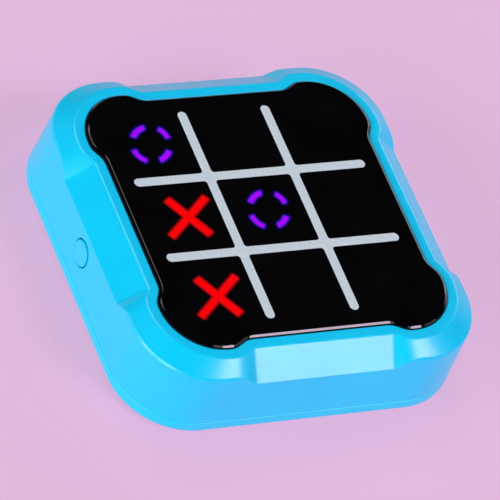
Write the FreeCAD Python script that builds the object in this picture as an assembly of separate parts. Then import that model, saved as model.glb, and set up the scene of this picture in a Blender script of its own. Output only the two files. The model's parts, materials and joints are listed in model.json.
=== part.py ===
"""Handheld electronic tic-tac-toe game: a blue moulded case with a glossy black touch
window, three AAA cells under a hinged door, and a round power button in the left wall.

Frame: +X right, +Y to the back, +Z up. The origin is on the table, under the middle of
the case, so the rubber feet stand on Z = 0 and the power button is in the -X wall.
"""
import FreeCAD, Part
import math
import os

V = FreeCAD.Vector

# ---- driving dimensions, millimetres and degrees ----
PITCH = 25.0                 # centre to centre of two cells
FOOT_STAND = 0.6             # how far the feet stand below the case
TOTAL_H = 26.0               # table to the top of the window
PART_LINE = 3.65             # height of the lower housing's visible band
BASE_HALF, BASE_R = 50.4, 20.0
WALL_HALF, WALL_R = 49.7, 19.7      # outer wall at the top of the corner bumpers
WALL_T = 2.4
WALL_DRAFT = 0.1             # inward lean of the wall above the bumpers
PART_STEP = 0.12             # the lower housing stands this far proud of the wall above it
PART_EDGE_R, BASE_EDGE_R = 0.35, 1.3
RIM_DROP = 0.75              # the rim lies this far below the window's top
RIM_EDGE_R = 1.0
RIM_INNER_BREAK = 0.3
BUMPER_DROP = 3.15           # height of the chamfer on a corner bumper
FACET_DROP = 6.0             # height of the scooped facet in the middle of a side
FACET_RUN = 7.05
BUMPER_RUN = 4.55
RIM_W = 3.05                 # window edge to the rim's outer edge

# window outline: straight sides with a bulging lobe at each corner
WIN_SIDE, WIN_LOBE = 39.65, 42.05
WIN_NOTCH = 21.46            # half length of the straight side
WIN_SLANT = 30.0             # angle of the step from side to lobe
WIN_LOBE_R, WIN_CONVEX_R, WIN_CONCAVE_R = 14.55, 5.15, 5.85
WIN_T = 2.2
WIN_BEVEL_RUN, WIN_BEVEL_DROP, WIN_BEVEL_R = 0.58, 0.47, 0.6
WIN_GAP = 0.1

FACET_CONVEX_R, FACET_CONCAVE_R = 8.0, 1.5     # outline corners at the foot of the facets
CROWN_MARGIN = 9.0
BUMPER_EDGE_LOW, BUMPER_EDGE_HIGH, BUMPER_EDGE_IN = 0.55, 0.95, 0.8   # softened outer edge

GRID_BAR_W, GRID_BAR_L, GRID_FILLET = 2.66, 69.2, 0.9
INK_DEPTH = 0.1
MARK_PAD = 0.15              # a light channel is this much wider than its mark
X_ARMS = [(38.7, 19.1, 2.3), (123.4, 15.1, 2.8)]          # angle, length, width
X_ARM_EDGE_R = 0.4
O_LONG, O_SHORT, O_TILT, O_W = 6.25, 5.05, 49.0, 2.1      # mean half axes, tilt, width
O_ARCS = [(33.0, 19.7), (118.0, 31.4), (216.5, 24.1), (302.6, 28.4)]  # middle, half span
LIT_X = [(-23.4, 0.0), (-24.8, -26.1)]
LIT_O = [(-25.1, 24.7), (0.3, 0.1)]
CELLS = [(i * PITCH, j * PITCH) for j in (1, 0, -1) for i in (-1, 0, 1)]

PLATE_T = 2.0                # floor of the lower housing
LIP_H, LIP_T, LIP_GAP = 2.0, 1.3, 0.15
SHELF_T = 1.8
OPEN_HALF, OPEN_R = 36.6, 6.6
PCB_T, PCB_HALF, PCB_CORNER = 1.6, 41.3, 71.0
BAFFLE_HALF, BAFFLE_H = 36.0, 6.0
INNER_R = OPEN_R - 0.6       # corner radius of the film and the baffle
PCB_HOLE_R = 1.1
FILM_T = 0.2
TAIL_HALF, TAIL_T, TAIL_GAP = 5.0, 0.2, 0.4

CASE_SCREW = 38.5            # case screws at (+-, +-)
CASE_BOSS_R, CASE_PILOT_R, CASE_PILOT_L = 3.2, 1.3, 8.0
CASE_POST_R, CASE_CLEAR_R, CASE_BORE_R, CASE_BORE_TOP = 3.8, 1.45, 2.6, 4.6
PCB_SCREW = (38.9, 14.0)
PCB_BOSS_R, PCB_PILOT_R, PCB_PILOT_L = 2.2, 1.0, 3.4
FOOT_POS = (24.0, 42.0)
FOOT_R, FOOT_RECESS, FOOT_GAP, FOOT_EDGE_R = 4.0, 0.8, 0.1, 0.35

BUTTON_Y, BUTTON_Z = 1.0, 13.0
BUTTON_R, BUTTON_HOLE_R, BUTTON_EDGE_R = 3.65, 4.05, 0.35
BUTTON_PROUD = 0.4
BUTTON_STEM_R, BUTTON_STEM_X = 1.8, -43.25
FLANGE_R, FLANGE_T, FLANGE_GAP = 4.8, 1.0, 0.1
PLUNGER_R, PLUNGER_GAP, PLUNGER_X = 1.2, 0.08, (-43.2, -40.6)
SWITCH_HALF, SWITCH_X, SWITCH_BORE = 2.25, (-41.6, -38.4), -39.8
SWITCH_BOARD_X, SWITCH_BOARD_HALF = (-38.4, -37.2), 6.6
BOARD_POST_X, BOARD_POST_Y, BOARD_POST_HALF, BOARD_POST_TOP = (-40.0, -35.6), 7.2, 1.25, 12.0
BOARD_GROOVE_GAP, BOARD_GROOVE_DEPTH = 0.05, 0.85

BAY_Y = 10.0                 # middle of the battery bay
BAY_X, BAY_HALF_Y, BAY_WALL = 25.5, 16.75, 1.65
CELL_R, CELL_L, CELL_STEP, CELL_EDGE_R = 5.15, 44.5, 11.0, 0.4
CELL_SHIFT = 0.9             # a cell sits this far towards its positive end
NIPPLE_R, NIPPLE_H = 1.9, 0.9
SHEET_T = 0.4                # contact metal
CONTACT_HALF, CONTACT_LOW, CONTACT_HIGH = 3.6, 3.0, 4.0    # below and above the cell's axis
PAD_HALF, LEAF_HALF, LEAF_CREST, LEAF_FOOT, LINK_W = 1.6, 1.8, 0.5, 0.5, 3.0
TAG_Z, TAG_HALF, TAG_OUT, TAG_GAP = 10.8, 0.9, 1.5, 0.1    # solder tag out through the bay's wall
DOOR_T, DOOR_GAP = 1.55, 0.25
DOOR_HALF_Y = 17.65
DOOR_END_X = 35.3
HINGE_X, HINGE_Z, HINGE_R = -28.3, 3.2, 3.0
DOOR_SCREW_X = 31.5
DOOR_BOSS_R, DOOR_BOSS_TOP, DOOR_BORE_R, DOOR_BORE_TOP, DOOR_SHANK_R = 3.7, 3.7, 2.6, 2.5, 1.25
DOOR_POST_R, DOOR_POST_TOP, DOOR_PILOT_R, DOOR_POCKET_R, DOOR_POCKET_TOP = 3.6, 9.0, 1.3, 4.0, 3.9
PAD_TOP, PAD_END_X = 4.6, 37.3    # pad over the door's screw end
TAB_HALF, TAB_Y, TAB_TOP = 2.5, 9.0, 4.0
TAB_ROOT, TAB_TIP, TAB_NEAR = 2.7, 5.4, 0.9    # reach past the hinge axis

SPEAKER_Y, SPEAKER_R = -29.5, 14.4
SPEAKER_CUP_GAP, SPEAKER_CUP_T, SPEAKER_CUP_TOP = 0.2, 1.0, 6.0
MAGNET_R, MAGNET_H, MAGNET_EDGE = 7.5, 3.6, 0.5
STRIP_HALF, STRIP_Y, STRIP_T = 5.0, (7.7, 11.5), 1.0
GRILLE_R, GRILLE_RINGS = 0.8, [(3.6, 6), (7.2, 12)]        # hole radius; ring radius and count
LED_SIZE, LED_OUT = (1.6, 0.8, 0.7), 3.0
CAP_X, CAP_Y, CAP_R, CAP_H, CAP_EDGE_R = (-34.0, -27.5, -21.0), -13.0, 2.5, 5.4, 0.4
LEG_HALF, LEG_OUT, LEG_IN, LEG_T, CHIP_GAP = 0.2, 1.0, 0.3, 0.35, 0.1
PLUG_HALF, PLUG_H = (3.2, 2.2), 4.0
BATTERY_PLUG, SPEAKER_PLUG = (0.0, 33.0), (17.0, -25.0)
LEAD_R = 0.6
TURN_X, TURN_Z, PIN_HALF = 33.0, 12.0, 1.5      # where the battery leads turn and end
TERMINAL_X, TERMINAL_Y = 3.6, 9.8
SCREW_EDGE_R, SCREW_POINT_L, SLOT_HALF = 0.3, 0.8, 0.3
SCREW_POINT, CROSS_REACH, CROSS_DEPTH = 0.4, 0.6, 0.55     # shares of the shank and the head
OVERLAP = 0.2                # how far solids that are joined reach into each other
BEYOND = 1.0                 # how far a cutter reaches past what it cuts

# ---- derived heights ----
BASE_Z = FOOT_STAND
PART_Z = BASE_Z + PART_LINE
RIM_Z = TOTAL_H - RIM_DROP
BUMPER_Z = RIM_Z - BUMPER_DROP
FLOOR_Z = BASE_Z + PLATE_T
WIN_Z = TOTAL_H - WIN_T
TAPE_T, TAPE_INSET = 0.3, 0.6
SHELF_TOP = WIN_Z - TAPE_T
SHELF_Z = SHELF_TOP - SHELF_T
TOUCH_T = 0.4
BAFFLE_TOP = WIN_Z - TOUCH_T - FILM_T
PCB_TOP = BAFFLE_TOP - BAFFLE_H
PCB_Z = PCB_TOP - PCB_T
DOOR_CLEAR = 0.1             # above and below the closed door
DOOR_Z = BASE_Z + DOOR_CLEAR / 2
DOOR_TOP = DOOR_Z + DOOR_T
RECESS_Z = DOOR_TOP + DOOR_CLEAR         # ledge that the door closes against
# screws: height of the head's face, head radius and height, shank radius and length
DOOR_SCREW_SIZE = (0.95, 2.3, 1.55, 1.15, 4.7)
CASE_SCREW_SIZE = (2.9, 2.3, 1.7, 1.2, 10.0)
PCB_SCREW_SIZE = (PCB_Z - 1.4, 1.8, 1.4, 0.95, 4.6)
BAY_TOP = 13.4
BAY_ROOF = BAY_TOP + 1.2
CELL_Z = FLOOR_Z + 0.1 + CELL_R
POST_TOP = 8.0
SPEAKER_Z = FLOOR_Z + 0.1
SPEAKER_BACK = SPEAKER_Z + 3.4
CAVITY_HALF, CAVITY_R = BASE_HALF - WALL_T - 0.35, 17.4
TAPER_Z, TAPER_IN, TAPER_R_IN = 18.0, 4.0, 3.0            # the cavity narrows from this height up
TRAY_HALF = CAVITY_HALF - LIP_GAP - LIP_T


# ---- outlines and basic solids ----
def turned(x, y, quarter):
    """Turn a plan point by quarter right angles about the centre."""
    for _ in range(quarter % 4):
        x, y = -y, x
    return x, y


def rounded_wire(corners, z):
    """Closed wire through (x, y, radius) corners, each rounded by a tangent arc."""
    count = len(corners)
    arcs = []
    for i, (x, y, r) in enumerate(corners):
        here = V(x, y, z)
        back = (V(*corners[i - 1][:2], z) - here).normalize()
        ahead = (V(*corners[(i + 1) % count][:2], z) - here).normalize()
        half = back.getAngle(ahead) / 2
        reach = r / math.tan(half)
        centre = here + (back + ahead).normalize() * (r / math.sin(half))
        middle = centre + (here - centre).normalize() * r
        arcs.append((here + back * reach, middle, here + ahead * reach))
    edges = []
    for i, (start, middle, end) in enumerate(arcs):
        edges.append(Part.Arc(start, middle, end).toShape())
        edges.append(Part.LineSegment(end, arcs[(i + 1) % count][0]).toShape())
    return Part.Wire(edges)


def square_wire(half, r, z):
    corners = [(*turned(half, -half, q), r) for q in range(4)]
    return rounded_wire(corners, z)


def lobed_wire(side, lobe, notch, step, lobe_r, convex_r, concave_r, z):
    """Square with a lobe at each corner: notch and step are where the slant starts and ends."""
    right = [(side, -notch, concave_r), (side, notch, concave_r), (lobe, step, convex_r),
             (lobe, lobe, lobe_r), (step, lobe, convex_r)]
    corners = []
    for q in range(4):
        corners += [(*turned(x, y, q), r) for x, y, r in right]
    return rounded_wire(corners, z)


def window_wire(grow, z):
    """The window's outline, moved outwards by grow."""
    slant = math.radians(WIN_SLANT)
    shift = grow * math.tan(slant / 2)
    step = WIN_NOTCH + (WIN_LOBE - WIN_SIDE) / math.tan(slant)
    return lobed_wire(WIN_SIDE + grow, WIN_LOBE + grow, WIN_NOTCH - shift, step - shift,
                      WIN_LOBE_R + grow, WIN_CONVEX_R + grow, WIN_CONCAVE_R - grow, z)


def prism(wire, height):
    return Part.Face(wire).extrude(V(0, 0, height))


def loft(*wires):
    return Part.makeLoft(list(wires), True, True)


def box(x0, x1, y0, y1, z0, z1):
    return Part.makeBox(x1 - x0, y1 - y0, z1 - z0, V(x0, y0, z0))


def post(x, y, r, z0, z1):
    return Part.makeCylinder(r, z1 - z0, V(x, y, z0))


def rod(x0, x1, y, z, r):
    return Part.makeCylinder(r, x1 - x0, V(x0, y, z), V(1, 0, 0))


def revolved(profile, x, y):
    """Solid of revolution about the vertical through (x, y); profile is (radius, z) points."""
    wire = Part.makePolygon([V(x + r, y, z) for r, z in profile + profile[:1]])
    return Part.Face(wire).revolve(V(x, y, 0), V(0, 0, 1), 360)


def joined(shapes):
    return shapes[0].multiFuse(shapes[1:]).removeSplitter()


def corners_of(x, y):
    return [(sx * x, sy * y) for sx in (-1, 1) for sy in (-1, 1)]


def edges_at(shape, z):
    """Edges that lie wholly in the plane Z = z."""
    def flat(edge):
        return max(abs(edge.BoundBox.ZMin - z), abs(edge.BoundBox.ZMax - z)) < 1e-4
    return [edge for edge in shape.Edges if flat(edge)]


def upright_edges(shape, height):
    return [edge for edge in shape.Edges if abs(edge.BoundBox.ZLength - height) < 1e-6]


def tube(points, r):
    """Round lead along straight runs joined by tangent arcs; prints the arcs' radii."""
    pts = [V(*p) for p in points]
    share = [0.8] + [0.45] * (len(pts) - 3) + [0.8]      # of each run that its arcs may take
    edges, last, radii = [], pts[0], []
    for i, (before, here, after) in enumerate(zip(pts, pts[1:], pts[2:])):
        back, ahead = before - here, after - here
        half = back.getAngle(ahead) / 2
        reach = min(back.Length * share[i], ahead.Length * share[i + 1])
        radius = reach * math.tan(half)
        back.normalize()
        ahead.normalize()
        centre = here + (back + ahead).normalize() * (radius / math.sin(half))
        start, end = here + back * reach, here + ahead * reach
        middle = centre + (here - centre).normalize() * radius
        edges += [Part.LineSegment(last, start).toShape(), Part.Arc(start, middle, end).toShape()]
        last = end
        radii.append(round(radius, 1))
    edges.append(Part.LineSegment(last, pts[-1]).toShape())
    path = Part.Wire(edges)
    circle = Part.Wire(Part.makeCircle(r, pts[0], pts[1] - pts[0]))
    solid = path.makePipeShell([circle], True, False)
    ratio = solid.Volume / (math.pi * r * r * path.Length)
    print("lead radii", radii, "volume ratio", round(ratio, 3))
    return solid


# ---- marks: the X and O figures that each cell can show ----
def x_figure(cx, cy, pad, z, height):
    arms = []
    for angle, length, width in X_ARMS:
        half_l, half_w = length / 2 + pad, width / 2 + pad
        arm = box(-half_l, half_l, -half_w, half_w, z, z + height)
        arm = arm.makeFillet(X_ARM_EDGE_R, upright_edges(arm, height))
        arm.rotate(V(0, 0, 0), V(0, 0, 1), angle)
        arm.translate(V(cx, cy, 0))
        arms.append(arm)
    return joined(arms)


def o_arc(cx, cy, middle, half_span, pad, z, height):
    """One segment of the ring, cut from an elliptical band by a wedge."""
    centre = V(cx, cy, z)
    tilt = math.radians(O_TILT)
    along = V(math.cos(tilt), math.sin(tilt), 0)
    across = V(-math.sin(tilt), math.cos(tilt), 0)

    def ellipse(grow):
        far, near = along * (O_LONG + grow), across * (O_SHORT + grow)
        curve = Part.Ellipse(centre + far, centre + near, centre)
        return Part.Face(Part.Wire(curve.toShape())).extrude(V(0, 0, height))

    band = ellipse(O_W / 2 + pad).cut(ellipse(-O_W / 2 - pad))
    spread = math.radians(half_span) + pad / O_LONG
    angles = [math.radians(middle) + side * spread for side in (-1, 1)]
    tips = [centre + V(math.cos(a), math.sin(a), 0) * (2 * O_LONG) for a in angles]
    wedge = Part.Face(Part.makePolygon([centre, tips[0], tips[1], centre])).extrude(V(0, 0, height))
    return band.common(wedge)


def o_figure(cx, cy, pad, z, height):
    return [o_arc(cx, cy, middle, half_span, pad, z, height) for middle, half_span in O_ARCS]


def cell_figures(z, height):
    """Both figures for all nine cells, as cutters."""
    cutters = []
    for cx, cy in CELLS:
        cutters.append(x_figure(cx, cy, MARK_PAD, z, height))
        cutters += o_figure(cx, cy, MARK_PAD, z, height)
    return cutters


# ---- case ----
def crown(depth):
    """Everything under the lobed rim: it widens downwards as facets and bumpers."""
    slant = math.radians(WIN_SLANT)
    notch = WIN_NOTCH - RIM_W * math.tan(slant / 2)
    step = notch + (WIN_LOBE - WIN_SIDE) / math.tan(slant)
    low_side = WIN_SIDE + RIM_W + FACET_RUN * depth / FACET_DROP
    grown = depth / BUMPER_DROP
    low_lobe = WIN_LOBE + RIM_W + BUMPER_RUN * grown
    rim_centre = WIN_LOBE - WIN_LOBE_R
    low_centre = rim_centre + (WALL_HALF - WALL_R - rim_centre) * grown
    low = lobed_wire(low_side, low_lobe, notch, step, low_lobe - low_centre,
                     FACET_CONVEX_R, FACET_CONCAVE_R, RIM_Z - depth)
    form = loft(window_wire(RIM_W, RIM_Z), low)
    return form.makeFillet(RIM_EDGE_R, edges_at(form, RIM_Z))


def outer_form():
    """Outside of the upper housing: a drafted wall, chamfered down from the lobed rim."""
    wall = loft(square_wire(BASE_HALF - PART_STEP, BASE_R - PART_STEP, PART_Z),
                square_wire(WALL_HALF, WALL_R, BUMPER_Z),
                square_wire(WALL_HALF - WALL_DRAFT, WALL_R - WALL_DRAFT, RIM_Z))
    depth = FACET_DROP + BEYOND
    clear_half = BASE_HALF + CROWN_MARGIN
    skirt = prism(square_wire(clear_half, BASE_R, PART_Z - BEYOND), RIM_Z - depth - PART_Z + BEYOND)
    low, high = BUMPER_Z - BUMPER_EDGE_LOW, BUMPER_Z + BUMPER_EDGE_HIGH
    below = prism(square_wire(clear_half, BASE_R, PART_Z - BEYOND), low - PART_Z + BEYOND)
    top_wire = square_wire(WALL_HALF - BUMPER_EDGE_IN, WALL_R - BUMPER_EDGE_IN, high)
    bevel = loft(square_wire(WALL_HALF + WALL_DRAFT / 2, WALL_R, low), top_wire)
    softened = joined([below, bevel, prism(top_wire, RIM_Z - high)])
    return wall.common(crown(depth).fuse(skirt)).common(softened)


def upper_cavity():
    straight = prism(square_wire(CAVITY_HALF, CAVITY_R, PART_Z - BEYOND), TAPER_Z - PART_Z + BEYOND)
    taper = loft(square_wire(CAVITY_HALF, CAVITY_R, TAPER_Z),
                 square_wire(CAVITY_HALF - TAPER_IN, CAVITY_R - TAPER_R_IN, SHELF_Z))
    return joined([straight, taper])


def upper_housing():
    form = outer_form().cut(upper_cavity())
    case_screws, pcb_screws = corners_of(CASE_SCREW, CASE_SCREW), corners_of(*PCB_SCREW)
    boss_top = SHELF_Z + OVERLAP
    bosses = [post(x, y, CASE_BOSS_R, POST_TOP, boss_top) for x, y in case_screws]
    bosses += [post(x, y, PCB_BOSS_R, PCB_TOP, boss_top) for x, y in pcb_screws]
    form = form.multiFuse(bosses)
    rim_break = loft(window_wire(WIN_GAP, RIM_Z - RIM_INNER_BREAK),
                     window_wire(WIN_GAP + RIM_INNER_BREAK, RIM_Z))
    cutters = [prism(window_wire(WIN_GAP, SHELF_TOP), WIN_T + BEYOND),
               rim_break,
               prism(square_wire(OPEN_HALF, OPEN_R, SHELF_Z - BEYOND), SHELF_T + 2 * BEYOND),
               rod(-BASE_HALF - BEYOND, -CAVITY_HALF + BEYOND, BUTTON_Y, BUTTON_Z, BUTTON_HOLE_R)]
    cutters += [post(x, y, CASE_PILOT_R, POST_TOP, POST_TOP + CASE_PILOT_L) for x, y in case_screws]
    cutters += [post(x, y, PCB_PILOT_R, PCB_TOP, PCB_TOP + PCB_PILOT_L) for x, y in pcb_screws]
    for cutter in cutters:
        form = form.cut(cutter)
    return form.removeSplitter()


def bay_blocks():
    """Battery box walls and roof, and the pad over the door's screw end."""
    low_y, high_y = BAY_Y - BAY_HALF_Y - BAY_WALL, BAY_Y + BAY_HALF_Y + BAY_WALL
    outer_x, root = BAY_X + BAY_WALL, FLOOR_Z - OVERLAP
    return [box(-outer_x, outer_x, low_y, high_y, root, BAY_ROOF),
            box(BAY_X, PAD_END_X, low_y, high_y, root, PAD_TOP),
            post(DOOR_SCREW_X, BAY_Y, DOOR_POST_R, FLOOR_Z, DOOR_POST_TOP)]


def board_posts():
    """Two slotted posts that hold the switch board upright."""
    x0, x1 = (SWITCH_BOARD_X[0] - BOARD_GROOVE_GAP, SWITCH_BOARD_X[1] + BOARD_GROOVE_GAP)
    posts = []
    for side in (-1, 1):
        y = BUTTON_Y + side * BOARD_POST_Y
        inner = y - side * BOARD_POST_HALF
        mouth, end = sorted((inner - side * OVERLAP, inner + side * BOARD_GROOVE_DEPTH))
        groove = box(x0, x1, mouth, end, FLOOR_Z + BEYOND, BOARD_POST_TOP + BEYOND)
        block = box(*BOARD_POST_X, y - BOARD_POST_HALF, y + BOARD_POST_HALF,
                    FLOOR_Z - OVERLAP, BOARD_POST_TOP)
        posts.append(block.cut(groove))
    return posts


def speaker_cup():
    outer = SPEAKER_R + SPEAKER_CUP_GAP + SPEAKER_CUP_T
    cup = post(0, SPEAKER_Y, outer, FLOOR_Z - OVERLAP, SPEAKER_CUP_TOP)
    return cup.cut(post(0, SPEAKER_Y, SPEAKER_R + SPEAKER_CUP_GAP, FLOOR_Z, SPEAKER_CUP_TOP + BEYOND))


def grille_holes():
    holes = [post(0, SPEAKER_Y, GRILLE_R, 0, FLOOR_Z + BEYOND)]
    for ring, count in GRILLE_RINGS:
        for k in range(count):
            angle = 2 * math.pi * k / count
            x, y = ring * math.cos(angle), SPEAKER_Y + ring * math.sin(angle)
            holes.append(post(x, y, GRILLE_R, 0, FLOOR_Z + BEYOND))
    return holes


def tray():
    """Floor and side band of the lower housing, with the lip that locates the upper one."""
    shell = prism(square_wire(BASE_HALF, BASE_R, BASE_Z), PART_LINE)
    shell = shell.makeFillet(BASE_EDGE_R, edges_at(shell, BASE_Z))
    shell = shell.makeFillet(PART_EDGE_R, edges_at(shell, PART_Z))
    lip = prism(square_wire(TRAY_HALF + LIP_T, CAVITY_R - LIP_GAP, PART_Z - BEYOND), LIP_H + BEYOND)
    inside = prism(square_wire(TRAY_HALF, CAVITY_R - LIP_GAP - LIP_T, FLOOR_Z), TOTAL_H)
    return shell.fuse(lip).cut(inside)


def door_cutters():
    """Battery bay, the door's recess and hinge pocket, and the holes for its screw."""
    y0, y1 = BAY_Y - DOOR_HALF_Y - DOOR_GAP, BAY_Y + DOOR_HALF_Y + DOOR_GAP
    hinge_end, door_end = HINGE_X - HINGE_R - DOOR_CLEAR, DOOR_END_X + DOOR_GAP
    return [box(-BAY_X, BAY_X, BAY_Y - BAY_HALF_Y, BAY_Y + BAY_HALF_Y, 0, BAY_TOP),
            box(hinge_end, door_end, y0, y1, 0, RECESS_Z),
            box(hinge_end, -BAY_X - BAY_WALL, y0, y1, 0, HINGE_Z + HINGE_R - OVERLAP),
            post(DOOR_SCREW_X, BAY_Y, DOOR_POCKET_R, 0, DOOR_POCKET_TOP),
            post(DOOR_SCREW_X, BAY_Y, DOOR_PILOT_R, DOOR_POCKET_TOP - BEYOND, POST_TOP)]


def lower_housing():
    case_screws = corners_of(CASE_SCREW, CASE_SCREW)
    extra = bay_blocks() + board_posts() + [speaker_cup()]
    extra += [post(x, y, CASE_POST_R, FLOOR_Z - OVERLAP, POST_TOP) for x, y in case_screws]
    cutters = door_cutters() + grille_holes()
    for x, y in case_screws:
        cutters.append(post(x, y, CASE_BORE_R, 0, CASE_BORE_TOP))
        cutters.append(post(x, y, CASE_CLEAR_R, CASE_BORE_TOP - OVERLAP, POST_TOP + BEYOND))
    recess_top = BASE_Z + FOOT_RECESS
    cutters += [post(x, y, FOOT_R + FOOT_GAP, 0, recess_top) for x, y in corners_of(*FOOT_POS)]
    cutters += [tag(cell_y(0), TAG_GAP), across(tag(cell_y(2), TAG_GAP))]
    form = tray().multiFuse(extra)
    for cutter in cutters:
        form = form.cut(cutter)
    return form.removeSplitter()


def door_plate():
    """Flat plate whose hinge end is rounded about the hinge axis."""
    low, high = DOOR_Z - HINGE_Z, DOOR_TOP - HINGE_Z
    bottom_x = HINGE_X - math.sqrt(HINGE_R ** 2 - low ** 2)
    top_x = HINGE_X - math.sqrt(HINGE_R ** 2 - high ** 2)
    mid = (math.atan2(low, bottom_x - HINGE_X) + math.atan2(high, top_x - HINGE_X)) / 2
    y0 = BAY_Y - DOOR_HALF_Y
    a, b = V(bottom_x, y0, DOOR_Z), V(top_x, y0, DOOR_TOP)
    round_mid = V(HINGE_X + HINGE_R * math.cos(mid), y0, HINGE_Z + HINGE_R * math.sin(mid))
    c, d = V(DOOR_END_X, y0, DOOR_TOP), V(DOOR_END_X, y0, DOOR_Z)
    outline = Part.Wire([Part.Arc(a, round_mid, b).toShape(), Part.LineSegment(b, c).toShape(),
                         Part.LineSegment(c, d).toShape(), Part.LineSegment(d, a).toShape()])
    return Part.Face(outline).extrude(V(0, 2 * DOOR_HALF_Y, 0))


def battery_door():
    """Plate with a rounded hinge end, two hooked tabs and a boss for its captive screw."""
    root_z = DOOR_TOP - OVERLAP
    solids = [door_plate(), post(DOOR_SCREW_X, BAY_Y, DOOR_BOSS_R, root_z, DOOR_BOSS_TOP)]
    inner_x = HINGE_X - TAB_NEAR
    for side in (-1, 1):
        y0, y1 = BAY_Y + side * TAB_Y - TAB_HALF, BAY_Y + side * TAB_Y + TAB_HALF
        solids.append(box(HINGE_X - TAB_ROOT, inner_x, y0, y1, root_z, TAB_TOP))
        solids.append(box(HINGE_X - TAB_TIP, inner_x, y0, y1, FLOOR_Z + LIP_GAP, TAB_TOP))
    door = joined(solids).cut(post(DOOR_SCREW_X, BAY_Y, DOOR_BORE_R, 0, DOOR_BORE_TOP))
    return door.cut(post(DOOR_SCREW_X, BAY_Y, DOOR_SHANK_R, 0, DOOR_BOSS_TOP + BEYOND)).removeSplitter()


# ---- window stack ----
def printed_bar(x):
    """One bar of the grid, along Y, with round ends."""
    r, half = GRID_BAR_W / 2, (GRID_BAR_L - GRID_BAR_W) / 2
    z0, z1 = TOTAL_H - INK_DEPTH, TOTAL_H
    middle = box(x - r, x + r, -half, half, z0, z1)
    return joined([middle, post(x, -half, r, z0, z1), post(x, half, r, z0, z1)])


def grid_print():
    """Four crossing bars, filleted where they cross."""
    bars = []
    for x in (-PITCH / 2, PITCH / 2):
        bar, other = printed_bar(x), printed_bar(x)
        other.rotate(V(0, 0, 0), V(0, 0, 1), 90)
        bars += [bar, other]
    grid = joined(bars)

    def at_crossing(edge):
        middle = edge.CenterOfMass
        return all(abs(abs(abs(c) - PITCH / 2) - GRID_BAR_W / 2) < 1e-3 for c in (middle.x, middle.y))

    return grid.makeFillet(GRID_FILLET, [e for e in upright_edges(grid, INK_DEPTH) if at_crossing(e)])


def lit_x():
    return [x_figure(cx, cy, 0, TOTAL_H - INK_DEPTH, INK_DEPTH) for cx, cy in LIT_X]


def lit_o():
    arcs = []
    for cx, cy in LIT_O:
        arcs += o_figure(cx, cy, 0, TOTAL_H - INK_DEPTH, INK_DEPTH)
    return arcs


def display_window(inlays):
    """Glossy panel with a bevelled, softened edge; the prints are let into its face."""
    bevel_z = TOTAL_H - WIN_BEVEL_DROP
    slope = loft(window_wire(0, bevel_z), window_wire(-WIN_BEVEL_RUN, TOTAL_H))
    slope = slope.makeFillet(WIN_BEVEL_R, edges_at(slope, TOTAL_H))
    glass = joined([prism(window_wire(0, WIN_Z), bevel_z - WIN_Z), slope])
    for inlay in inlays:
        glass = glass.cut(inlay)
    return glass


def window_tape():
    """Adhesive ring between the shelf and the panel."""
    ring = prism(window_wire(-TAPE_INSET, SHELF_TOP), TAPE_T)
    opening = square_wire(OPEN_HALF + OVERLAP, OPEN_R, SHELF_TOP - BEYOND)
    return ring.cut(prism(opening, TAPE_T + 2 * BEYOND))


def touch_film():
    """Clear electrode film with a tail folded down to the board."""
    z0 = WIN_Z - TOUCH_T
    sheet = prism(square_wire(BAFFLE_HALF, INNER_R, z0), TOUCH_T)
    edge = -BAFFLE_HALF - TAIL_GAP
    tail = box(-TAIL_HALF, TAIL_HALF, edge, edge + TAIL_T, PCB_TOP, WIN_Z)
    link = box(-TAIL_HALF, TAIL_HALF, edge, -BAFFLE_HALF + BEYOND, z0, WIN_Z)
    return joined([sheet, tail, link])


def mask_film(figures):
    film = prism(square_wire(BAFFLE_HALF, INNER_R, BAFFLE_TOP), FILM_T)
    return film.cut(figures)


def light_baffle(figures):
    block = prism(square_wire(BAFFLE_HALF, INNER_R, PCB_TOP), BAFFLE_H)
    return block.cut(figures)


# ---- electronics ----
def main_pcb():
    """Square board with cut corners and four screw holes."""
    near = PCB_CORNER - PCB_HALF
    points = []
    for q in range(4):
        points += [turned(PCB_HALF, -near, q), turned(PCB_HALF, near, q)]
    wire = Part.makePolygon([V(x, y, PCB_Z) for x, y in points + points[:1]])
    board = prism(wire, PCB_T)
    for x, y in corners_of(*PCB_SCREW):
        board = board.cut(post(x, y, PCB_HOLE_R, PCB_Z - BEYOND, PCB_TOP + BEYOND))
    return board


def led(x, y, angle):
    length, width, height = LED_SIZE
    body = box(-length / 2, length / 2, -width / 2, width / 2, PCB_TOP, PCB_TOP + height)
    body.rotate(V(0, 0, 0), V(0, 0, 1), angle)
    body.translate(V(x, y, 0))
    return body


def leds_red():
    """Four under each X, out along its arms."""
    leds = []
    for cx, cy in CELLS:
        for angle, _, _ in X_ARMS:
            for turn in (angle, angle + 180):
                a = math.radians(turn)
                leds.append(led(cx + LED_OUT * math.cos(a), cy + LED_OUT * math.sin(a), turn))
    return leds


def leds_purple():
    """One under each segment of each O."""
    leds = []
    for cx, cy in CELLS:
        for middle, _ in O_ARCS:
            a = math.radians(middle)
            swing = math.radians(middle - O_TILT)
            r = 1.0 / math.hypot(math.cos(swing) / O_LONG, math.sin(swing) / O_SHORT)
            leds.append(led(cx + r * math.cos(a), cy + r * math.sin(a), middle + 90))
    return leds


def chip(x, y, size, thick, legs):
    """Flat chip under the board with a row of legs along two of its sides."""
    half = size / 2
    solids = [box(x - half, x + half, y - half, y + half, PCB_Z - thick, PCB_Z - CHIP_GAP)]
    step = size / (legs + 1)
    for side in (-1, 1):
        y0, y1 = sorted((y + side * (half - LEG_IN), y + side * (half + LEG_OUT)))
        for k in range(legs):
            leg_x = x - half + step * (k + 1)
            solids.append(box(leg_x - LEG_HALF, leg_x + LEG_HALF, y0, y1, PCB_Z - LEG_T, PCB_Z))
    return joined(solids)


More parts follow.
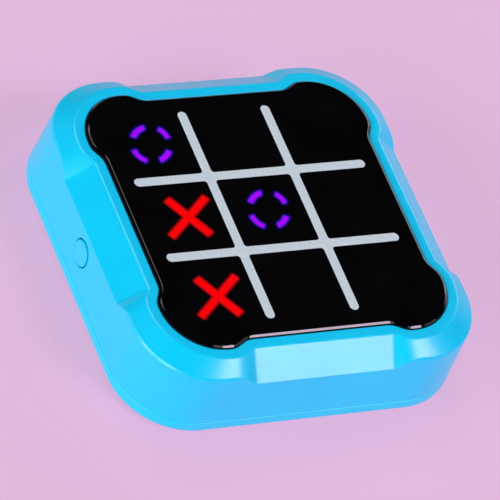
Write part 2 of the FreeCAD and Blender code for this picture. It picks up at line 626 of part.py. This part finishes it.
def capacitors():
    """Three smoothing capacitors hanging from the board."""
    cans = []
    for x in CAP_X:
        can = post(x, CAP_Y, CAP_R, PCB_Z - CAP_H, PCB_Z)
        cans.append(can.makeFillet(CAP_EDGE_R, edges_at(can, PCB_Z - CAP_H)))
    return cans


def connector(x, y, half_x, half_y):
    """Two-pin wire connector under the board."""
    return box(x - half_x, x + half_x, y - half_y, y + half_y, PCB_Z - PLUG_H, PCB_Z)


# ---- power button and its switch ----
def switch_board():
    """Small upright board behind the button, soldered to the underside of the main board."""
    low_y, high_y = BUTTON_Y - SWITCH_BOARD_HALF, BUTTON_Y + SWITCH_BOARD_HALF
    return box(*SWITCH_BOARD_X, low_y, high_y, FLOOR_Z + BEYOND, PCB_Z)


def tact_switch_body():
    low_y, high_y = BUTTON_Y - SWITCH_HALF, BUTTON_Y + SWITCH_HALF
    body = box(*SWITCH_X, low_y, high_y, BUTTON_Z - SWITCH_HALF, BUTTON_Z + SWITCH_HALF)
    return body.cut(rod(SWITCH_X[0] - BEYOND, SWITCH_BORE, BUTTON_Y, BUTTON_Z, PLUNGER_R + PLUNGER_GAP))


def tact_switch_plunger():
    return rod(*PLUNGER_X, BUTTON_Y, BUTTON_Z, PLUNGER_R)


def power_button():
    """Round cap with a flange inside the wall and a stem that reaches the switch."""
    face = -wall_half(BUTTON_Z) - BUTTON_PROUD
    inner = -CAVITY_HALF + FLANGE_GAP
    middle = inner + FLANGE_T / 2
    cap = rod(face, middle, BUTTON_Y, BUTTON_Z, BUTTON_R)
    rim = [e for e in cap.Edges if abs(e.BoundBox.XMin - face) < 1e-6 and e.BoundBox.XLength < 1e-6]
    cap = cap.makeFillet(BUTTON_EDGE_R, rim)
    flange = rod(inner, inner + FLANGE_T, BUTTON_Y, BUTTON_Z, FLANGE_R)
    stem = rod(middle, BUTTON_STEM_X, BUTTON_Y, BUTTON_Z, BUTTON_STEM_R)
    return joined([cap, flange, stem])


def wall_half(z):
    """Half width of the outer wall at height z."""
    share = (z - PART_Z) / (BUMPER_Z - PART_Z)
    low = BASE_HALF - PART_STEP
    return low + (WALL_HALF - low) * share


# ---- speaker ----
def speaker_frame():
    """Pressed basket: flat rim, sloping side and a flat back."""
    z = SPEAKER_Z
    profile = [(SPEAKER_R, z), (SPEAKER_R, z + 1.2), (12.6, z + 1.2), (8.2, SPEAKER_BACK),
               (0.0, SPEAKER_BACK), (0.0, z + 2.8), (7.6, z + 2.8), (12.0, z + 0.6), (12.6, z)]
    return revolved(profile, 0, SPEAKER_Y)


def speaker_cone():
    """Thin cone with a rolled edge."""
    z = SPEAKER_Z
    profile = [(12.2, z + 0.1), (11.6, z + 0.5), (5.0, z + 1.9), (0.0, z + 1.3),
               (0.0, z + 1.0), (5.0, z + 1.6), (11.4, z + 0.2)]
    return revolved(profile, 0, SPEAKER_Y)


def speaker_magnet():
    top = SPEAKER_BACK + MAGNET_H
    magnet = post(0, SPEAKER_Y, MAGNET_R, SPEAKER_BACK, top)
    return magnet.makeChamfer(MAGNET_EDGE, edges_at(magnet, top))


def speaker_terminals():
    """Solder-tag strip on the back of the frame."""
    near, far = STRIP_Y
    top = SPEAKER_BACK + STRIP_T
    strip = box(-STRIP_HALF, STRIP_HALF, SPEAKER_Y + near, SPEAKER_Y + far, SPEAKER_BACK, top)
    return strip.cut(post(0, SPEAKER_Y, near, SPEAKER_BACK - BEYOND, top + BEYOND))


# ---- batteries ----
def cell_y(index):
    return BAY_Y + (index - 1) * CELL_STEP


def cell_turn(index):
    """+1 where the positive end points to +X, -1 where it points to -X."""
    return 1 if index % 2 == 0 else -1


def battery(index):
    """AAA cell along X, with its nipple towards its positive contact."""
    y, side = cell_y(index), cell_turn(index)
    can_l = CELL_L - NIPPLE_H
    x0 = side * CELL_SHIFT - CELL_L / 2 + (NIPPLE_H if side < 0 else 0)
    can = rod(x0, x0 + can_l, y, CELL_Z, CELL_R)
    ends = [e for e in can.Edges if e.BoundBox.XLength < 1e-6]
    can = can.makeFillet(CELL_EDGE_R, ends)
    root = x0 + (can_l - OVERLAP if side > 0 else -NIPPLE_H)
    return joined([can, rod(root, root + NIPPLE_H + OVERLAP, y, CELL_Z, NIPPLE_R)])


def across(shape):
    """The same shape at the opposite end of the battery bay."""
    return shape.mirror(V(0, 0, 0), V(1, 0, 0))


def contact_plate(y):
    """Flat plate against the +X wall of the bay."""
    low, high = CELL_Z - CONTACT_LOW, CELL_Z + CONTACT_HIGH
    return box(BAY_X - SHEET_T, BAY_X, y - CONTACT_HALF, y + CONTACT_HALF, low, high)


def pad_contact(y):
    """Contact plate with a raised pad that meets a nipple."""
    nipple = CELL_SHIFT + CELL_L / 2
    low, high = CELL_Z - PAD_HALF, CELL_Z + PAD_HALF
    pad = box(nipple, BAY_X - SHEET_T / 2, y - PAD_HALF, y + PAD_HALF, low, high)
    return joined([contact_plate(y), pad])


def spring_contact(y):
    """Contact plate with a bowed leaf that presses on a cell's flat end."""
    low, high = CELL_Z - CONTACT_LOW, CELL_Z + CONTACT_HIGH
    back, face, side = BAY_X - SHEET_T, CELL_L / 2 - CELL_SHIFT, y - LEAF_HALF
    crest = CELL_Z + LEAF_CREST
    outer = Part.Arc(V(back, side, low), V(face, side, crest), V(back, side, high))
    inner = Part.Arc(V(back, side, high - LEAF_FOOT), V(face + SHEET_T, side, crest),
                     V(back, side, low + LEAF_FOOT))
    top = Part.LineSegment(V(back, side, high), V(back, side, high - LEAF_FOOT))
    bottom = Part.LineSegment(V(back, side, low + LEAF_FOOT), V(back, side, low))
    outline = Part.Wire([edge.toShape() for edge in (outer, top, inner, bottom)])
    leaf = Part.Face(outline).extrude(V(0, 2 * LEAF_HALF, 0))
    return joined([contact_plate(y), leaf])


def tag(y, grow):
    """Solder tag that passes out through the +X wall of the bay."""
    half_y, half_z = SHEET_T / 2 + grow, TAG_HALF + grow
    return box(BAY_X - SHEET_T, BAY_X + BAY_WALL + TAG_OUT, y - half_y, y + half_y,
               TAG_Z - half_z, TAG_Z + half_z)


def link_contact(spring_y, pad_y):
    """One strip that joins a cell's flat end to the next cell's nipple."""
    high = CELL_Z + CONTACT_HIGH
    bridge = box(BAY_X - SHEET_T, BAY_X, spring_y, pad_y, high - LINK_W, high)
    return joined([spring_contact(spring_y), pad_contact(pad_y), bridge])


# ---- fasteners and feet ----
def screw(x, y, z, head_r, head_h, shank_r, shank_l):
    """Pan-head screw pointing up, with its head's face at height z and a cross recess in it."""
    neck = z + head_h
    head = post(x, y, head_r, z, neck)
    head = head.makeFillet(SCREW_EDGE_R, edges_at(head, z))
    tip = neck + shank_l
    shank = revolved([(0, neck - OVERLAP), (shank_r, neck - OVERLAP), (shank_r, tip - SCREW_POINT_L),
                      (shank_r * SCREW_POINT, tip), (0, tip)], x, y)
    reach, depth = head_r * CROSS_REACH, z + head_h * CROSS_DEPTH
    cross = [box(x - reach, x + reach, y - SLOT_HALF, y + SLOT_HALF, z - BEYOND, depth),
             box(x - SLOT_HALF, x + SLOT_HALF, y - reach, y + reach, z - BEYOND, depth)]
    return joined([head, shank]).cut(joined(cross))


def foot(x, y):
    pad = post(x, y, FOOT_R, 0, BASE_Z + FOOT_RECESS)
    return pad.makeFillet(FOOT_EDGE_R, edges_at(pad, 0))


# ---- leads held inside the case ----
def battery_runs(plug_z):
    """Routes from the two battery tags, round the bay, to the connector behind it."""
    tag_x = BAY_X + BAY_WALL + TAG_OUT
    plug_y = BATTERY_PLUG[1] + PLUG_HALF[1]
    runs = {}
    for name, side, y in (("battery_lead_red", 1, cell_y(0)), ("battery_lead_black", -1, cell_y(2))):
        pin_x, turn_x = side * PIN_HALF, side * TURN_X
        runs[name] = [(side * tag_x, y, TAG_Z), (turn_x, y, TAG_Z), (turn_x, plug_y + 3.5, TURN_Z),
                      (pin_x, plug_y + 6.5, plug_z), (pin_x, plug_y, plug_z)]
    return runs


def speaker_runs(plug_z):
    """Routes from the speaker's terminals up and across to its connector."""
    strip_y, strip_z = SPEAKER_Y + TERMINAL_Y, SPEAKER_BACK + STRIP_T
    plug_x = SPEAKER_PLUG[0] - PLUG_HALF[1]
    runs = {}
    for name, side, turn in (("speaker_lead_red", 1, 5.5), ("speaker_lead_black", -1, 13.5)):
        x, row = side * TERMINAL_X, SPEAKER_PLUG[1] + side
        runs[name] = [(x, strip_y, strip_z), (x, strip_y, plug_z - LEAD_R),
                      (plug_x - turn, row, plug_z), (plug_x, row, plug_z)]
    return runs


def leads():
    plug_z = PCB_Z - PLUG_H / 2
    runs = battery_runs(plug_z) | speaker_runs(plug_z)
    return {name: tube(run, LEAD_R) for name, run in runs.items()}


# ---- assembly ----
def build():
    grid = grid_print()
    marks_x, marks_o = lit_x(), lit_o()
    channels = cell_figures(PCB_TOP - BEYOND, BAFFLE_H + TOUCH_T + FILM_T + 2 * BEYOND)
    nodes = {
        "upper_housing": upper_housing(),
        "lower_housing": lower_housing(),
        "battery_door": battery_door(),
        "display_window": display_window([grid] + marks_x + marks_o),
        "grid_print": grid,
        "lit_x_marks": marks_x,
        "lit_o_marks": marks_o,
        "window_tape": window_tape(),
        "touch_film": touch_film(),
        "mask_film": mask_film(channels),
        "light_baffle": light_baffle(channels),
        "main_pcb": main_pcb(),
        "leds_red": leds_red(),
        "leds_purple": leds_purple(),
        "mcu_chip": chip(-28.0, -27.0, 9.0, 1.6, 8),
        "touch_chip": chip(31.0, -30.0, 5.0, 1.4, 4),
        "capacitors": capacitors(),
        "battery_connector": connector(*BATTERY_PLUG, *PLUG_HALF),
        "speaker_connector": connector(*SPEAKER_PLUG, *PLUG_HALF[::-1]),
        "switch_board": switch_board(),
        "tact_switch_body": tact_switch_body(),
        "tact_switch_plunger": tact_switch_plunger(),
        "power_button": power_button(),
        "speaker_frame": speaker_frame(),
        "speaker_cone": speaker_cone(),
        "speaker_magnet": speaker_magnet(),
        "speaker_terminals": speaker_terminals(),
        "battery_terminal_positive": joined([pad_contact(cell_y(0)), tag(cell_y(0), 0)]),
        "battery_terminal_negative": across(joined([spring_contact(cell_y(2)), tag(cell_y(2), 0)])),
        "battery_link_right": link_contact(cell_y(1), cell_y(2)),
        "battery_link_left": across(link_contact(cell_y(0), cell_y(1))),
        "battery_door_screw": screw(DOOR_SCREW_X, BAY_Y, *DOOR_SCREW_SIZE),
        "case_screws": [screw(x, y, *CASE_SCREW_SIZE) for x, y in corners_of(CASE_SCREW, CASE_SCREW)],
        "pcb_screws": [screw(x, y, *PCB_SCREW_SIZE) for x, y in corners_of(*PCB_SCREW)],
    }
    for k in range(3):
        nodes["battery_%d" % (k + 1)] = battery(k)
    for side, x in (("left", -FOOT_POS[0]), ("right", FOOT_POS[0])):
        for end, y in (("front", -FOOT_POS[1]), ("back", FOOT_POS[1])):
            nodes["foot_%s_%s" % (end, side)] = foot(x, y)
    nodes.update(leads())
    return nodes


def export(nodes):
    os.makedirs("parts", exist_ok=True)
    for name, shape in nodes.items():
        if isinstance(shape, list):
            shape = Part.makeCompound(shape)
        shape.exportStep("parts/%s.step" % name)
        facts = (name, len(shape.Solids), shape.isValid(), shape.Volume)
        print("%-28s solids %2d valid %s volume %9.1f" % facts)


export(build())
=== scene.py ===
import json
import math

import bmesh
import bpy
from mathutils import Matrix, Vector

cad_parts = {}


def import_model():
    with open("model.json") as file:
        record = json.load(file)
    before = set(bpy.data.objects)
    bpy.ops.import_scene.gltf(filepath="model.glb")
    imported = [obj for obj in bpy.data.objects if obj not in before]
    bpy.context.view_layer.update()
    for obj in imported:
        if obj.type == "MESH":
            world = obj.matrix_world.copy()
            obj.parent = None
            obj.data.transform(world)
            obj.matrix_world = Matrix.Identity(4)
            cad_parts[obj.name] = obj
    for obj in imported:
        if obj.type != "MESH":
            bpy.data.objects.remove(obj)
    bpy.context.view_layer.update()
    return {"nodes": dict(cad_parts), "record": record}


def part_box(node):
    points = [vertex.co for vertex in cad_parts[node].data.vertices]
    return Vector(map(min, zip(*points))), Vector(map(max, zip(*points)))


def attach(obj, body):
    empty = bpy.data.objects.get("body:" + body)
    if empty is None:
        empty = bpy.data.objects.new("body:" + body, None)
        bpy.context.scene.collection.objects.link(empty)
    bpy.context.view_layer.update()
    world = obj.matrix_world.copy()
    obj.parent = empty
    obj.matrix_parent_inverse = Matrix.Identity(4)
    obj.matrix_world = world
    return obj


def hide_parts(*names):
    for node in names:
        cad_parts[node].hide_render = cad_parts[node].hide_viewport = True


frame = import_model()

MM = 0.001
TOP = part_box("display_window")[1].z          # top face of the window

# ---- camera: azimuth, elevation and roll in degrees, lengths in millimetres ----
CAM_AZIMUTH, CAM_ELEVATION, CAM_ROLL = -42.35, 45.97, 27.85
CAM_DISTANCE = 1302.0
CAM_AIM = Vector((-10.12, -12.37, 0.0)) * MM + Vector((0, 0, TOP))
LENS, SENSOR = 359.4, 36.0
NEAR, FAR = 50.0, 100000.0

# ---- lit marks, millimetres and degrees ----
X_ARMS = [(38.7, 19.1, 2.3), (123.4, 15.1, 2.8)]          # angle, length, width
O_LONG, O_SHORT, O_TILT, O_WIDTH = 6.25, 5.05, 49.0, 1.95  # half axes of the ring, its tilt, width
O_ARCS = [(33.0, 19.7), (118.0, 31.4), (216.5, 24.1), (302.6, 28.4)]   # middle, half of its sweep
LIT_X = [(-23.4, 0.0), (-24.8, -26.1)]       # centres of the lit figures
LIT_O = [(-25.1, 24.7), (0.3, 0.1)]
ARM_STEPS, ARC_STEPS = (160, 24), (64, 24)   # quads along and across a stroke
FRINGE = 1.5                 # width of the soft edge of a lit stroke
STROKE_R = 0.5               # corner radius of a stroke
LIFT = 0.02                  # lit strokes stand this far off the window
O_OUTER = O_WIDTH + FRINGE   # width of an O stroke with its soft edges
O_END = FRINGE / 2 / O_LONG  # soft edge past the end of an arc, in radians

# ---- materials, millimetres ----
NOISE_LOW, NOISE_HIGH = 0.3, 0.7             # part of the noise's range that carries a change
TRACK_PITCH = 2.2            # between copper runs on a board
CELL_REACH = 23.5            # the cells end inside this distance from the middle, along X


def srgb(red, green, blue):
    """Linear colour from 0-255 display values."""
    def linear(value):
        share = value / 255
        return share / 12.92 if share <= 0.04045 else ((share + 0.055) / 1.055) ** 2.4
    return (linear(red), linear(green), linear(blue), 1.0)


# ---- node helpers ----
class Surface:
    """A Principled material with helpers for procedural variation in object space."""

    def __init__(self, name, colour, roughness, metallic=0.0, specular=0.5):
        self.material = bpy.data.materials.new(name)
        self.material.use_nodes = True
        self.tree = self.material.node_tree
        self.shader = self.tree.nodes["Principled BSDF"]
        self.shader.inputs["Base Color"].default_value = colour
        self.shader.inputs["Roughness"].default_value = roughness
        self.shader.inputs["Metallic"].default_value = metallic
        self.shader.inputs["Specular IOR Level"].default_value = specular
        self.place = self.tree.nodes.new("ShaderNodeTexCoord").outputs["Object"]

    def noise(self, size, detail=3.0, stretch=(1, 1, 1)):
        """Noise whose features are about size millimetres across."""
        mapping = self.tree.nodes.new("ShaderNodeMapping")
        mapping.inputs["Scale"].default_value = stretch
        self.tree.links.new(self.place, mapping.inputs["Vector"])
        node = self.tree.nodes.new("ShaderNodeTexNoise")
        node.inputs["Scale"].default_value = 1 / (size * MM)
        node.inputs["Detail"].default_value = detail
        self.tree.links.new(mapping.outputs["Vector"], node.inputs["Vector"])
        return node.outputs["Fac"]

    def remap(self, value, low, high, to_low, to_high):
        node = self.tree.nodes.new("ShaderNodeMapRange")
        limits = {"From Min": low, "From Max": high, "To Min": to_low, "To Max": to_high}
        for key, number in limits.items():
            node.inputs[key].default_value = number
        self.tree.links.new(value, node.inputs["Value"])
        return node.outputs["Result"]

    def ramp(self, value, stops):
        node = self.tree.nodes.new("ShaderNodeValToRGB")
        ramp = node.color_ramp
        while len(ramp.elements) < len(stops):
            ramp.elements.new(1.0)
        for element, (position, colour) in zip(ramp.elements, stops):
            element.position = position
            element.color = colour
        self.tree.links.new(value, node.inputs["Fac"])
        return node.outputs["Color"]

    def feed(self, key, value):
        self.tree.links.new(value, self.shader.inputs[key])

    def mottle(self, size, dark, light):
        """Colour that drifts between two near tones."""
        self.feed("Base Color", self.ramp(self.noise(size), [(NOISE_LOW, dark), (NOISE_HIGH, light)]))

    def uneven_gloss(self, size, low, high):
        self.feed("Roughness", self.remap(self.noise(size, 4.0), NOISE_LOW, NOISE_HIGH, low, high))

    def grain(self, value, depth):
        """Bump of depth millimetres."""
        node = self.tree.nodes.new("ShaderNodeBump")
        node.inputs["Distance"].default_value = depth * MM
        node.inputs["Strength"].default_value = 1.0
        self.tree.links.new(value, node.inputs["Height"])
        self.feed("Normal", node.outputs["Normal"])


# ---- materials, one function each ----
def case_plastic(name, dark, light):
    surface = Surface(name, light, 0.3, specular=0.54)
    surface.mottle(9.0, dark, light)
    surface.uneven_gloss(2.5, 0.28, 0.32)
    surface.grain(surface.noise(0.8, 2.0), 0.006)
    return surface.material


def window_gloss():
    surface = Surface("window_black", srgb(3, 3, 5), 0.04)
    surface.mottle(14.0, srgb(1, 1, 2), srgb(5, 5, 7))
    surface.uneven_gloss(6.0, 0.02, 0.07)
    return surface.material


def grid_ink():
    surface = Surface("print_grey", srgb(205, 222, 228), 0.35)
    surface.mottle(0.7, srgb(196, 216, 221), srgb(211, 230, 233))
    surface.grain(surface.noise(0.25, 2.0), 0.004)
    return surface.material


def film(name, colour, roughness):
    surface = Surface(name, colour, roughness)
    surface.uneven_gloss(4.0, roughness * 0.8, roughness * 1.2)
    surface.mottle(6.0, colour, tuple(min(1.0, c * 1.15) for c in colour[:3]) + (1.0,))
    return surface.material


def moulded(name, colour, roughness=0.5):
    surface = Surface(name, colour, roughness)
    surface.mottle(3.0, tuple(c * 0.9 for c in colour[:3]) + (1.0,), colour)
    surface.grain(surface.noise(0.3, 2.0), 0.01)
    return surface.material


def circuit_board():
    """Green solder mask over copper runs."""
    surface = Surface("board_green", srgb(18, 92, 48), 0.32)
    tracks = surface.tree.nodes.new("ShaderNodeTexVoronoi")
    tracks.feature = "DISTANCE_TO_EDGE"
    tracks.inputs["Scale"].default_value = 1 / (TRACK_PITCH * MM)
    surface.tree.links.new(surface.place, tracks.inputs["Vector"])
    stops = [(0.0, srgb(44, 140, 76)), (0.09, srgb(40, 132, 70)), (0.11, srgb(14, 74, 38))]
    surface.feed("Base Color", surface.ramp(tracks.outputs["Distance"], stops))
    return surface.material


def metal(name, colour, roughness):
    surface = Surface(name, colour, roughness, metallic=1.0)
    surface.uneven_gloss(0.8, roughness * 0.85, roughness * 1.3)
    surface.grain(surface.noise(0.2, 2.0, (1, 6, 6)), 0.002)
    return surface.material


def cell_sleeve():
    """Dark printed sleeve with a copper band at one end."""
    surface = Surface("cell_jacket", srgb(34, 36, 42), 0.32)
    split = surface.tree.nodes.new("ShaderNodeSeparateXYZ")
    surface.tree.links.new(surface.place, split.inputs["Vector"])
    along = surface.remap(split.outputs["X"], -CELL_REACH * MM, CELL_REACH * MM, 0.0, 1.0)
    stops = [(0.0, srgb(178, 180, 184)), (0.03, srgb(30, 32, 37)), (0.68, srgb(36, 38, 44)),
             (0.69, srgb(196, 128, 62)), (0.96, srgb(204, 138, 70)), (0.97, srgb(178, 180, 184))]
    surface.feed("Base Color", surface.ramp(along, stops))
    surface.uneven_gloss(3.0, 0.28, 0.36)
    return surface.material


def rubber():
    surface = Surface("rubber_grey", srgb(58, 60, 64), 0.8)
    surface.mottle(1.5, srgb(52, 54, 58), srgb(64, 66, 70))
    surface.grain(surface.noise(0.25, 3.0), 0.02)
    return surface.material


def glow(name, stops):
    """Lit stroke: the attribute 'glow' runs from 0 at its outer edge to 1 in its core."""
    surface = Surface(name, srgb(2, 1, 3), 0.06)
    attribute = surface.tree.nodes.new("ShaderNodeAttribute")
    attribute.attribute_name = "glow"
    colours = [(share, srgb(*display)) for share, display in stops]
    surface.feed("Emission Color", surface.ramp(attribute.outputs["Fac"], colours))
    surface.shader.inputs["Emission Strength"].default_value = 1.0
    return surface.material


def lamp(name, colour):
    """Moulded lens of a small LED."""
    surface = Surface(name, colour, 0.2)
    surface.mottle(0.4, tuple(c * 0.8 for c in colour[:3]) + (1.0,), colour)
    return surface.material


MARK_RED = glow("mark_red", [
    (0.0, (0, 0, 0)), (0.14, (14, 0, 0)), (0.28, (60, 0, 0)), (0.5, (150, 4, 6)),
    (0.72, (222, 4, 12)), (0.86, (244, 2, 8)), (1.0, (251, 1, 4))])
MARK_PURPLE = glow("mark_purple", [
    (0.0, (0, 0, 0)), (0.1, (1, 0, 20)), (0.28, (3, 1, 62)), (0.5, (36, 14, 142)),
    (0.7, (112, 20, 218)), (0.9, (164, 8, 248)), (1.0, (173, 4, 254))])
MATERIALS = {
    "case_blue": case_plastic("case_blue", srgb(0, 210, 252), srgb(0, 214, 255)),
    "case_blue_deep": case_plastic("case_blue_deep", srgb(0, 216, 252), srgb(0, 220, 255)),
    "window_black": window_gloss(),
    "print_grey": grid_ink(),
    "lit_red": lamp("led_red", srgb(205, 24, 16)),
    "lit_purple": lamp("led_purple", srgb(120, 40, 205)),
    "film_black": film("film_black", srgb(12, 12, 14), 0.5),
    "film_clear": film("film_clear", srgb(200, 212, 212), 0.2),
    "plastic_white": moulded("plastic_white", srgb(236, 235, 228)),
    "plastic_black": moulded("plastic_black", srgb(24, 24, 27)),
    "board_green": circuit_board(),
    "can_aluminium": metal("can_aluminium", srgb(190, 192, 196), 0.36),
    "steel_plated": metal("steel_plated", srgb(186, 188, 190), 0.34),
    "cell_jacket": cell_sleeve(),
    "rubber_grey": rubber(),
    "lead_red": moulded("lead_red", srgb(190, 24, 18), 0.4),
    "lead_black": moulded("lead_black", srgb(20, 20, 22), 0.4),
}


def paint_cad_nodes():
    for part in frame["record"]["subparts"]:
        node = frame["nodes"][part["node"]]
        node.data.materials.clear()
        node.data.materials.append(MATERIALS[part["material_slot"]])


# ---- lit marks ----
def stroke_patch(mesh, layer, where, inside, steps):
    """Grid of where(u, v) points, u and v from -1 to 1, with inside(u, v, point) as its glow."""
    count_u, count_v = steps
    rows = []
    for i in range(count_u + 1):
        row = []
        for j in range(count_v + 1):
            u, v = 2 * i / count_u - 1, 2 * j / count_v - 1
            point = where(u, v)
            vertex = mesh.verts.new(Vector((point[0] * MM, point[1] * MM, point[2] * MM + TOP)))
            vertex[layer] = max(0.0, min(1.0, inside(u, v, point)))
            row.append(vertex)
        rows.append(row)
    for row, following in zip(rows, rows[1:]):
        for k in range(count_v):
            mesh.faces.new((row[k], following[k], following[k + 1], row[k + 1]))


def squircle_corner(u, v, round_u, round_v):
    """Pull the corners of the unit square in so that a stroke's end is rounded."""
    over_u = max(0.0, abs(u) - (1 - round_u)) / round_u
    over_v = max(0.0, abs(v) - (1 - round_v)) / round_v
    if over_u == 0 or over_v == 0:
        return u, v
    pull = max(over_u, over_v) / math.hypot(over_u, over_v)
    u = math.copysign(1 - round_u + round_u * over_u * pull, u)
    v = math.copysign(1 - round_v + round_v * over_v * pull, v)
    return u, v


def arm_place(centre, arm, lift):
    angle, length, width = arm
    half_l, half_w = length / 2 + FRINGE / 2, width / 2 + FRINGE / 2
    corner = STROKE_R + FRINGE / 2
    cos, sin = math.cos(math.radians(angle)), math.sin(math.radians(angle))

    def where(u, v):
        u, v = squircle_corner(u, v, corner / half_l, corner / half_w)
        x, y = u * half_l, v * half_w
        return (centre[0] + x * cos - y * sin, centre[1] + x * sin + y * cos, lift)
    return where


def rounded_depth(past_end, past_side):
    """Depth in a round-cornered stroke, in fringe widths, from the distances past its edges."""
    qx, qy = past_end + STROKE_R, past_side + STROKE_R
    distance = math.hypot(max(qx, 0), max(qy, 0)) + min(max(qx, qy), 0) - STROKE_R
    return 0.5 - distance / FRINGE


def arm_depth(centre, arm, point):
    angle, length, width = arm
    cos, sin = math.cos(math.radians(angle)), math.sin(math.radians(angle))
    dx, dy = point[0] - centre[0], point[1] - centre[1]
    along, side = abs(dx * cos + dy * sin), abs(dy * cos - dx * sin)
    return rounded_depth(along - length / 2, side - width / 2)


def x_piece(name, centre):
    mesh = bmesh.new()
    layer = mesh.verts.layers.float.new("glow")

    def inside(_u, _v, point):
        return max(arm_depth(centre, arm, point) for arm in X_ARMS)

    for number, arm in enumerate(X_ARMS, 1):
        stroke_patch(mesh, layer, arm_place(centre, arm, LIFT * number), inside, ARM_STEPS)
    finish_mark(mesh, name, MARK_RED, "lit_x_marks")


def arc_place(centre, middle, half_sweep):
    """Where a point of an O arc lies, and the radius of the ring there."""
    def radius(swing):
        turn = swing - math.radians(O_TILT)
        return 1 / math.hypot(math.cos(turn) / O_LONG, math.sin(turn) / O_SHORT)

    def where(u, v):
        swing = math.radians(middle) + u * (half_sweep + O_END)
        ring = radius(swing)
        r = ring + v * O_OUTER / 2
        return (centre[0] + r * math.cos(swing), centre[1] + r * math.sin(swing), LIFT, ring)
    return where


def o_piece(name, centre):
    mesh = bmesh.new()
    layer = mesh.verts.layers.float.new("glow")
    for middle, sweep in O_ARCS:
        half_sweep = math.radians(sweep)

        def inside(u, v, point, half_sweep=half_sweep):
            past_side = abs(v) * O_OUTER / 2 - O_WIDTH / 2
            past_end = (abs(u) * (half_sweep + O_END) - half_sweep) * point[3]
            return rounded_depth(past_end, past_side)

        stroke_patch(mesh, layer, arc_place(centre, middle, half_sweep), inside, ARC_STEPS)
    finish_mark(mesh, name, MARK_PURPLE, "lit_o_marks")


def finish_mark(mesh, name, material, node):
    data = bpy.data.meshes.new(name)
    mesh.to_mesh(data)
    mesh.free()
    piece = bpy.data.objects.new(name, data)
    bpy.context.scene.collection.objects.link(piece)
    data.materials.append(material)
    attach(piece, "case")
    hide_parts(node)


def lit_marks():
    for number, centre in enumerate(LIT_X, 1):
        x_piece(f"lit_x_{number}", centre)
    for number, centre in enumerate(LIT_O, 1):
        o_piece(f"lit_o_{number}", centre)


# ---- studio ----
FLOOR_PAPER = srgb(139, 117, 136)
HORIZON = srgb(228, 185, 222)                 # the floor's colour once it is lit
FLOOR_GLOW = 0.7                              # share of that colour that shadows keep
FLOOR_RADIUS, FLOOR_SIDES = 30.0, 96          # metres, then the edges of the disc
HORIZON_BAND = (0.02, 0.1)                    # heights on the unit sphere where the backdrop fades
CEILING = (0.02, 0.02, 0.022, 1)
PINKISH = (1.0, 0.76, 0.98)


def floor():
    mesh = bmesh.new()
    bmesh.ops.create_circle(mesh, cap_ends=True, radius=FLOOR_RADIUS, segments=FLOOR_SIDES)
    data = bpy.data.meshes.new("floor")
    mesh.to_mesh(data)
    mesh.free()
    piece = bpy.data.objects.new("floor", data)
    bpy.context.scene.collection.objects.link(piece)
    surface = Surface("floor_paper", FLOOR_PAPER, 0.9, specular=0.0)
    surface.shader.inputs["Emission Color"].default_value = HORIZON
    surface.shader.inputs["Emission Strength"].default_value = FLOOR_GLOW
    data.materials.append(surface.material)


def direction(azimuth, elevation):
    """Unit vector from the object; azimuth 0 is in front and grows towards +X, in degrees."""
    turn, rise = math.radians(azimuth), math.radians(elevation)
    return Vector((math.sin(turn) * math.cos(rise), -math.cos(turn) * math.cos(rise), math.sin(rise)))


def soft_light(name, azimuth, elevation, spread, strength, colour=(1, 1, 1)):
    """Distant round softbox that fills spread degrees of the sky."""
    data = bpy.data.lights.new(name, "SUN")
    data.angle = math.radians(spread)
    data.energy = strength
    data.color = colour
    light = bpy.data.objects.new(name, data)
    bpy.context.scene.collection.objects.link(light)
    light.rotation_euler = direction(azimuth, elevation).to_track_quat("Z", "Y").to_euler()


def world():
    """Pale backdrop near the horizon under a dark ceiling."""
    scene_world = bpy.data.worlds.new("studio")
    bpy.context.scene.world = scene_world
    scene_world.use_nodes = True
    tree = scene_world.node_tree
    place = tree.nodes.new("ShaderNodeTexCoord")
    split = tree.nodes.new("ShaderNodeSeparateXYZ")
    ramp = tree.nodes.new("ShaderNodeValToRGB")
    tree.links.new(place.outputs["Generated"], split.inputs["Vector"])
    tree.links.new(split.outputs["Z"], ramp.inputs["Fac"])
    for element, height, colour in zip(ramp.color_ramp.elements, HORIZON_BAND, (HORIZON, CEILING)):
        element.position = height
        element.color = colour
    tree.links.new(ramp.outputs["Color"], tree.nodes["Background"].inputs["Color"])
    tree.nodes["Background"].inputs["Strength"].default_value = 1.0


def lights():
    """Softboxes: azimuth, elevation and spread in degrees, strength, and a colour if not white."""
    boxes = {"front_box": (40, 42.5, 22, 1.35, PINKISH),
             "front_wide_box": (30, 42, 34, 0.4),
             "left_box": (270, 20, 28, 1.4),
             "left_front_box": (305, 18, 28, 1.15),
             "back_box": (188, 56, 28, 0.54),
             "right_box": (120, 20, 30, 0.6),
             "low_box": (60, 18, 28, 0.15)}
    for name, values in boxes.items():
        soft_light(name, *values)


def camera():
    back, roll = direction(CAM_AZIMUTH, CAM_ELEVATION), math.radians(CAM_ROLL)
    level = (-back).cross(Vector((0, 0, 1))).normalized()
    upright = level.cross(-back)
    right = math.cos(roll) * level + math.sin(roll) * upright
    up = math.cos(roll) * upright - math.sin(roll) * level
    data = bpy.data.cameras.new("camera")
    data.lens, data.sensor_width = LENS, SENSOR
    data.clip_start, data.clip_end = NEAR * MM, FAR * MM
    view = bpy.data.objects.new("camera", data)
    bpy.context.scene.collection.objects.link(view)
    view.matrix_world = Matrix.Translation(CAM_AIM + back * CAM_DISTANCE * MM) @ Matrix(
        (right, up, back)).transposed().to_4x4()
    bpy.context.scene.camera = view


paint_cad_nodes()
lit_marks()
floor()
world()
lights()
camera()
bpy.context.scene.view_settings.view_transform = "Standard"
